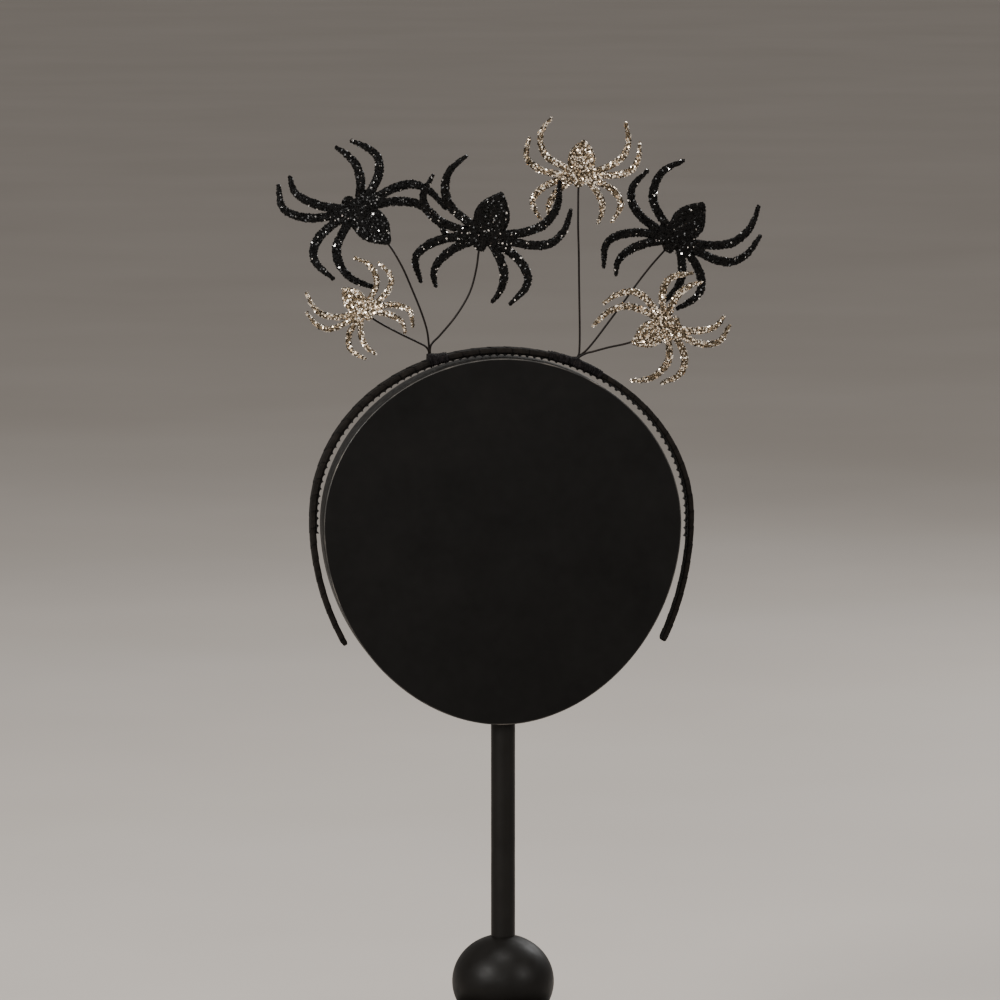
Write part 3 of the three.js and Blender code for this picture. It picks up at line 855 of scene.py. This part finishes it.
def add_band(material):
    """The ribbon-wound band: each turn of ribbon lies a step above the end of the turn before it."""
    half_depth = (band_high.y - band_low.y) / 2
    ring = section_ring(half_depth, band_half_thickness + RIBBON_PUFF, BAND_CORNER, face_steps=5)
    gaps = [math.dist(ring[i - 1], ring[i]) for i in range(len(ring))]
    shares = np.cumsum([0, *gaps[1:]]) / sum(gaps)
    rows = winding_rows()
    vertices, phases = [], []
    for row, within in rows:
        row_points, row_phases = ribbon_ring(row, within, ring, shares)
        vertices += row_points
        phases += row_phases
    faces = winding_faces(len(rows), len(ring))
    mesh = add_piece("band_wound", vertices, faces, [material], "ribbon", "band").data
    layer = mesh.uv_layers.new(name="winding")
    layer.data.foreach_set("uv", [value for face in faces for corner in face for value in phases[corner]])
    mesh.set_sharp_from_angle(angle=math.radians(40))


def add_comb(material):
    """Thin strip with pointed teeth and round valleys along its inner edge."""
    start = band_line.arch_start - COMB_PAST_LEFT
    end = band_line.arch_end + COMB_PAST_RIGHT
    stations = round((end - start) / COMB_PITCH) * COMB_STEPS
    half = (comb_high.y - comb_low.y) / 2
    back = -(band_half_thickness + CLEARANCE * COMB_GAP_SHARE)
    root = -(band_half_thickness + CLEARANCE + COMB_SPINE)
    rings = []
    for station in range(stations + 1):
        share = station / COMB_STEPS % 1
        height = root - COMB_TOOTH * (1 - math.sqrt(1 - (2 * share - 1) ** 2))
        along = start + (end - start) * station / stations
        corners = (
            (-half, back),
            (-half, height + COMB_EDGE_ROUND),
            (COMB_EDGE_ROUND - half, height),
            (half - COMB_EDGE_ROUND, height),
            (half, height + COMB_EDGE_ROUND),
            (half, back),
        )
        rings.append([band_line.at(along, outside, depth) for depth, outside in corners])
    comb = add_piece("comb_toothed", *loft(rings), [material], "comb", "comb")
    comb.data.set_sharp_from_angle(angle=math.radians(50))


def value_at(rows, place):
    """Value at a place in a table of (place, value) rows, straight between the rows."""
    places, values = zip(*rows)
    return float(np.interp(place, places, values))


def over_band(bundle, share, depth, up, wall):
    """Height of a point of a binding's outline, raised over the outside of the band."""
    half_depth = (band_high.y - band_low.y) / 2
    if up <= 0:
        return up
    crown = max(0, 1 - (depth / (half_depth + wall)) ** 4)
    return up + (value_at(bundle["over"], share) * MM - wall) * crown


def binding_ring(wall):
    """Section of a sleeve of this wall round the band, as (depth, height) pairs."""
    half_depth = (band_high.y - band_low.y) / 2
    half_height = band_half_thickness + RIBBON_PUFF
    return section_ring(half_depth + wall, half_height + wall, BINDING_CORNER, 4, 8)


def binding_core(bundle, start, end, seed):
    """Lumpy sleeve under the thread, thinner at its two ends."""
    rings = []
    stations = round((end - start) / CORE_STEP)
    for station in range(stations + 1):
        share = station / stations
        along = start + (end - start) * share
        taper = min(1, 8 * min(share, 1 - share) + 0.2)
        ring = []
        for depth, up in binding_ring(CORE_WALL * taper):
            raised = over_band(bundle, share, depth, up, CORE_WALL)
            lump = noise.noise(Vector((along * 900, depth * 500, up * 500 + seed))) * CORE_LUMP
            grow = 1 + lump / math.hypot(depth, raised)
            ring.append(band_line.at(along, raised * grow, depth * grow))
        rings.append(ring)
    return loft(rings)


def binding_thread(bundle, start, end, share, generator):
    """One turn of thread round the band, a little out of line."""
    half_depth = (band_high.y - band_low.y) / 2
    lean = generator.uniform(-1, 1) * THREAD_LEAN
    phase = generator.uniform(0, 50)
    points = []
    for depth, up in binding_ring(THREAD_WALL):
        stray = THREAD_STRAY * noise.noise(Vector((depth * 500, up * 500, phase)))
        along = start + (end - start) * share + lean * depth / half_depth + stray
        along = min(max(along, start), end)
        here = (along - start) / (end - start)
        points.append(band_line.at(along, over_band(bundle, here, depth, up, THREAD_WALL), depth))
    radius = THREAD_DIAMETER / 2 * generator.uniform(0.7, 1.2)
    return tube(points, radius, THREAD_SIDES, closed=True)


def add_binding(side, material):
    """Thread and ribbon wound over the band and the feet of the stems, in one joined mesh."""
    bundle = BUNDLES[side]
    root = band_line.root(bundle)
    start, end = root - bundle["before"], root + bundle["after"]
    generator = np.random.default_rng(BINDING_SEED + len(side))
    turns = round((end - start) / THREAD_SPACING)
    parts = [binding_core(bundle, start, end, len(side))]
    for turn in range(turns):
        parts.append(binding_thread(bundle, start, end, (turn + 0.5) / turns, generator))
    add_piece(f"binding_{side}", *join(parts), [material], "binding", f"wrap_{side}")


# Spray of spiders


def spray_point(place, depth):
    """Offset from a bundle's root, from a place and a depth in the table of stems."""
    return Vector((place[0], depth, place[1])) * (SPRAY_HEIGHT / 100)


def bundle_root(side):
    """Point on the outside of the band where a bundle stands."""
    return band_line.at(band_line.root(BUNDLES[side]), band_half_thickness, 0)


def spider_span(stem):
    """Full span of the spider on a stem."""
    return stem["share"] * (LARGE_SPAN if stem["large"] else SMALL_SPAN)


def spider_place(stem):
    """Turn and place of a spider: its head points up and its back to the rear before the turn."""
    turn = (
        Matrix.Rotation(math.radians(-stem["heading"]), 4, "Y")
        @ Matrix.Rotation(math.radians(stem["nod"]), 4, "X")
        @ Matrix.Rotation(math.radians(stem["roll"]), 4, "Z")
    )
    return Matrix.Translation(bundle_root(stem["bundle"]) + spray_point(stem["centre"], stem["depth"])) @ turn


def centripetal_line(points, steps):
    """Smooth line through points whose turns stay tight at close points."""
    padded = [points[0] * 2 - points[1], *points, points[-1] * 2 - points[-2]]
    line = []
    for index in range(1, len(padded) - 2):
        a, b, c, d = padded[index - 1 : index + 3]
        before, between, after = (math.sqrt((q - p).length) for p, q in ((a, b), (b, c), (c, d)))
        leave = ((b - a) / before - (c - a) / (before + between) + (c - b) / between) * between
        reach = ((c - b) / between - (d - b) / (between + after) + (d - c) / after) * between
        square = 3 * (c - b) - 2 * leave - reach
        cube = 2 * (b - c) + leave + reach
        for step in range(steps):
            t = step / steps
            line.append(b + leave * t + square * t * t + cube * t**3)
    line.append(points[-1])
    return line


def stem_line(stem):
    """Way of a stem: up from the band, by its way points, then flat behind its spider."""
    back = PLATE_THICKNESS / 2 + STEM_GAP + WIRE_DIAMETER / 2
    edge = STEM_ENTRY[stem["held"]] * spider_span(stem) / 100
    matrix = spider_place(stem)
    root = bundle_root(stem["bundle"])
    entry = matrix @ Vector((0, back, edge))
    inner = matrix @ Vector((0, back, edge - math.copysign(STEM_LAP, edge)))
    lane = stem["lane"] * WIRE_DIAMETER
    foot = root + Vector((0, lane, WIRE_DIAMETER * STEM_FOOT_SHARE))
    reach = math.hypot(entry.x - root.x, entry.z - root.z)
    way = []
    for place in stem["way"]:
        point = spray_point(place, 0)
        share = math.hypot(point.x, point.z) / reach
        point.y = lane + (entry.y - lane) * share
        way.append(root + point)
    return centripetal_line([foot, *way, entry, inner], STEM_STEPS)


def waver(place):
    """Smooth offset in all three directions, the same at a place in each run."""
    return Vector([noise.noise(place + Vector((shift, 0, 0))) for shift in WIRE_SHIFTS])


def add_stem(stem, material):
    """One stem, slightly kinked by hand between its two ends."""
    name = stem["name"]
    line = stem_line(stem)
    bent = []
    for index, point in enumerate(line):
        sway = WIRE_SWAY * math.sin(math.pi * index / (len(line) - 1))
        place = point * WIRE_BENDS_PER_METRE + Vector((0, 0, ord(name)))
        bent.append(point + waver(place) * sway)
    skin = tube(bent, WIRE_DIAMETER / 2, WIRE_SIDES)
    add_piece(f"wire_{name}", *skin, [material], "wire", f"stem_{name}")


def plate_part(line, widths, scale):
    """Flat strip with eased edges along a line in X and Z. Line and widths are in hundredths of the span."""
    rings = []
    half = PLATE_THICKNESS / 2 / scale
    for index, point in enumerate(line):
        before = line[max(index - 1, 0)]
        after = line[min(index + 1, len(line) - 1)]
        along = (after - before).normalized()
        across = Vector((along.z, 0, -along.x))
        width = max(widths[index] / 2, PLATE_LEAST_WIDTH)
        ease = min(PLATE_EASE * half, width * 0.6)
        corners = (
            (width, half - ease),
            (width - ease, half),
            (ease - width, half),
            (-width, half - ease),
            (-width, ease - half),
            (ease - width, -half),
            (width - ease, -half),
            (width, ease - half),
        )
        rings.append([(point + across * out + Vector((0, depth, 0))) * scale for out, depth in corners])
    return loft(rings)


def leg_part(leg, leg_share, scale):
    """One leg of the plate, from inside the body to its rounded tip."""
    points = [Vector((across, 0, ahead)) for across, ahead in leg]
    line = catmull_rom([points[0] * LEG_HIP_SHARE, *points], 8)
    gaps = np.cumsum([0, *[(q - p).length for p, q in zip(line, line[1:])]])
    widths = [leg_share * value_at(LEG_WIDTHS, gap / gaps[-1]) for gap in gaps]
    direction = (line[-1] - line[-2]).normalized()
    for reach, narrowing in LEG_TIP:
        line.append(points[-1] + direction * reach * widths[-1] / 2)
        widths.append(leg_share * LEG_WIDTHS[-1][1] * narrowing)
    return plate_part(line, widths, scale)


def plate_mesh(span, flipped, leg_share):
    """The spider's plate before it is given its crust: eight legs and a body, overlapping."""
    scale = span / 100
    parts = [leg_part(leg, leg_share, scale) for leg in LEGS]
    outline = catmull_rom([Vector((half, 0, ahead)) for ahead, half in BODY], 6)
    body_line = [Vector((0, 0, point.z)) for point in outline]
    parts.append(plate_part(body_line, [2 * point.x for point in outline], scale))
    vertices, faces = join(parts)
    if flipped:
        vertices = [Vector((-v.x, v.y, v.z)) for v in vertices]
        faces = [tuple(reversed(face)) for face in faces]
    mesh = bpy.data.meshes.new("plate_parts")
    mesh.from_pydata([tuple(v) for v in vertices], [], faces)
    return mesh


def fused(mesh):
    """One closed skin over overlapping solids, softened a little."""
    holder = bpy.data.objects.new("plate_parts", mesh)
    link(holder)
    remesh = holder.modifiers.new("fuse", "REMESH")
    remesh.mode = "VOXEL"
    remesh.voxel_size = PLATE_VOXEL
    soften = holder.modifiers.new("soften", "SMOOTH")
    soften.factor = 0.5
    soften.iterations = 2
    graph = bpy.context.evaluated_depsgraph_get()
    skin = bpy.data.meshes.new_from_object(holder.evaluated_get(graph))
    bpy.data.objects.remove(holder)
    return skin


def mesh_arrays(mesh):
    """Corner places and normals of a mesh, and its faces split into triangles."""
    mesh.calc_loop_triangles()
    places = np.zeros(len(mesh.vertices) * 3)
    mesh.vertices.foreach_get("co", places)
    normals = np.zeros(len(mesh.vertices) * 3)
    mesh.vertices.foreach_get("normal", normals)
    triangles = np.zeros(len(mesh.loop_triangles) * 3, dtype=np.int64)
    mesh.loop_triangles.foreach_get("vertices", triangles)
    return places.reshape(-1, 3), normals.reshape(-1, 3), triangles.reshape(-1, 3)


def crusted(mesh, seed):
    """Gives a skin the grainy surface of glued glitter."""
    places, normals, _ = mesh_arrays(mesh)
    lift = []
    for x, y, z in places:
        coarse = noise.noise(Vector((x, y, z)) * 900 + Vector((seed, 0, 0)))
        fine = noise.noise(Vector((x, y, z)) * 2300 + Vector((0, seed, 0)))
        lift.append(0.6 * coarse + 0.4 * fine)
    places = places + normals * (np.array(lift)[:, None] * PLATE_CRUST)
    mesh.vertices.foreach_set("co", places.ravel())
    mesh.update()


def flakes(mesh, seed):
    """Six-sided flakes strewn over a skin, each leaning its own way. Returns corners and faces."""
    generator = np.random.default_rng(seed)
    places, _, triangles = mesh_arrays(mesh)
    a, b, c = (places[triangles[:, corner]] for corner in range(3))
    crossed = np.cross(b - a, c - a)
    areas = np.linalg.norm(crossed, axis=1) / 2
    count = int(areas.sum() / MM**2 * FLAKES_PER_MM2)
    chosen = generator.choice(len(areas), count, p=areas / areas.sum())
    u, v = generator.random((2, count, 1))
    over = u + v > 1
    u, v = np.where(over, 1 - u, u), np.where(over, 1 - v, v)
    centres = a[chosen] + (b - a)[chosen] * u + (c - a)[chosen] * v
    normals = crossed[chosen] / np.linalg.norm(crossed[chosen], axis=1)[:, None]
    normals += generator.normal(0, FLAKE_LEAN, (count, 3))
    normals /= np.linalg.norm(normals, axis=1)[:, None]
    centres += normals * generator.uniform(*FLAKE_LIFTS, (count, 1))
    first = np.cross(normals, generator.normal(0, 1, (count, 3)))
    first /= np.linalg.norm(first, axis=1)[:, None]
    second = np.cross(normals, first)
    radii = generator.uniform(*FLAKE_SIZES, (count, 1)) / 2
    corners = []
    for corner in range(FLAKE_SIDES):
        angle = 2 * math.pi / FLAKE_SIDES * corner
        corners.append(centres + (first * math.cos(angle) + second * math.sin(angle)) * radii)
    vertices = np.stack(corners, axis=1).reshape(-1, 3)
    faces = np.arange(count * FLAKE_SIDES).reshape(-1, FLAKE_SIDES)
    return vertices, faces


def add_spider(stem, seed, materials, shares, slot):
    """One spider: its crusted plate and the flakes glued to it, in one mesh."""
    leg_share = 1 if stem["large"] else SMALL_LEG_SHARE
    skin = fused(plate_mesh(spider_span(stem), stem["flipped"], leg_share))
    crusted(skin, seed)
    places, _, _ = mesh_arrays(skin)
    flake_places, flake_faces = flakes(skin, seed)
    polygons = [tuple(polygon.vertices) for polygon in skin.polygons]
    faces = [*polygons, *(flake_faces + len(places)).tolist()]
    matrix = np.array(spider_place(stem))
    vertices = np.concatenate([places, flake_places]) @ matrix[:3, :3].T + matrix[:3, 3]
    generator = np.random.default_rng(seed + KIND_SEED)
    kinds = generator.choice(len(shares), len(flake_faces), p=shares) + 1
    face_materials = [0] * len(polygons) + kinds.tolist()
    smooth = [True] * len(polygons) + [False] * len(flake_faces)
    name = stem["name"]
    node = f"spider_{name}"
    add_piece(f"spider_glitter_{name}", vertices, faces, materials, slot, node, face_materials, smooth)


# Stage


def add_floor():
    """Wide pale floor under and behind the stand."""
    material, tree, shader = new_material("floor", roughness=0.9)
    tint(tree, shader, field(tree, 3, 3), ((0.3, (0.5, 0.46, 0.42)), (0.7, (0.54, 0.5, 0.46))))
    mesh = bpy.data.meshes.new("floor")
    corners = [(x * FLOOR_REACH, y * FLOOR_REACH, 0) for x, y in ((-1, -1), (1, -1), (1, 1), (-1, 1))]
    mesh.from_pydata(corners, [], [(0, 1, 2, 3)])
    mesh.materials.append(material)
    floor = bpy.data.objects.new("floor", mesh)
    link(floor)


def add_lamp(name, place, size, power, colour):
    """Square lamp turned towards the middle of the picture."""
    data = bpy.data.lights.new(name, "AREA")
    data.size = size
    data.energy = power
    data.color = colour
    lamp = bpy.data.objects.new(name, data)
    lamp.location = place
    lamp.rotation_mode = "QUATERNION"
    lamp.rotation_quaternion = (CAMERA_AIM - Vector(place)).to_track_quat("-Z", "Y")
    link(lamp)


def add_world():
    """Even light from all round."""
    world = bpy.data.worlds.new("studio")
    world.use_nodes = True
    background = world.node_tree.nodes["Background"]
    background.inputs["Color"].default_value = WORLD_COLOUR
    background.inputs["Strength"].default_value = WORLD_STRENGTH
    bpy.context.scene.world = world


def add_camera():
    """Camera at the photo's own angle."""
    view = Vector((
        math.sin(CAMERA_TURN) * math.cos(CAMERA_ELEVATION),
        math.cos(CAMERA_TURN) * math.cos(CAMERA_ELEVATION),
        -math.sin(CAMERA_ELEVATION),
    ))
    data = bpy.data.cameras.new("camera")
    data.sensor_width = SENSOR_WIDTH_MM
    data.lens = SENSOR_WIDTH_MM * CAMERA_DISTANCE / FRAME_WIDTH
    data.clip_end = 100
    camera = bpy.data.objects.new("camera", data)
    camera.location = CAMERA_AIM - view * CAMERA_DISTANCE
    camera.rotation_mode = "QUATERNION"
    camera.rotation_quaternion = view.to_track_quat("-Z", "Y")
    link(camera)
    bpy.context.scene.camera = camera


turned = turned_material()
add_ball(turned)
add_base(turned)
add_post(turned)
# Painted light on the board: its side is painted lighter than its faces, and its rounded corners lighter
# still as painted highlight.
add_board(board_material(), painted_light_rim_material(), painted_edge_highlight_material())
add_band(ribbon_material())
add_comb(comb_material())
cloth = binding_material()
for side in BUNDLES:
    add_binding(side, cloth)
lacquer = wire_material()
black = [
    plate_material("black_plate", (0.0008, 0.0007, 0.0007), (0.0026, 0.0022, 0.002), 0, 0.5, 1.2),
    flake_material("black_flake", (0.0008, 0.0007, 0.0007), (0.0026, 0.0022, 0.002), 0, 0.2, 1.26),
    flake_material("smoke_flake", (0.02, 0.017, 0.016), (0.06, 0.052, 0.048), 1, 0.18),
    flake_material("silver_flake", (0.75, 0.73, 0.7), (0.95, 0.93, 0.9), 1, 0.22),
]
gold = [
    plate_material("gold_plate", (0.022, 0.016, 0.01), (0.2, 0.155, 0.1), 0.85, 0.35),
    flake_material("gold_flake", (0.5, 0.37, 0.24), (0.92, 0.74, 0.54), 1, 0.2),
    flake_material("pale_flake", (0.98, 0.83, 0.67), (1, 0.93, 0.81), 0.75, 0.26),
    flake_material("bronze_flake", (0.02, 0.015, 0.009), (0.12, 0.088, 0.05), 1, 0.22),
]
for seed, stem in enumerate(STEMS):
    add_stem(stem, lacquer)
    if stem["large"]:
        add_spider(stem, seed, black, BLACK_SHARES, "black_glitter")
    else:
        add_spider(stem, seed, gold, GOLD_SHARES, "gold_glitter")

add_floor()
for lamp in LAMPS:
    add_lamp(*lamp)
add_world()
add_camera()
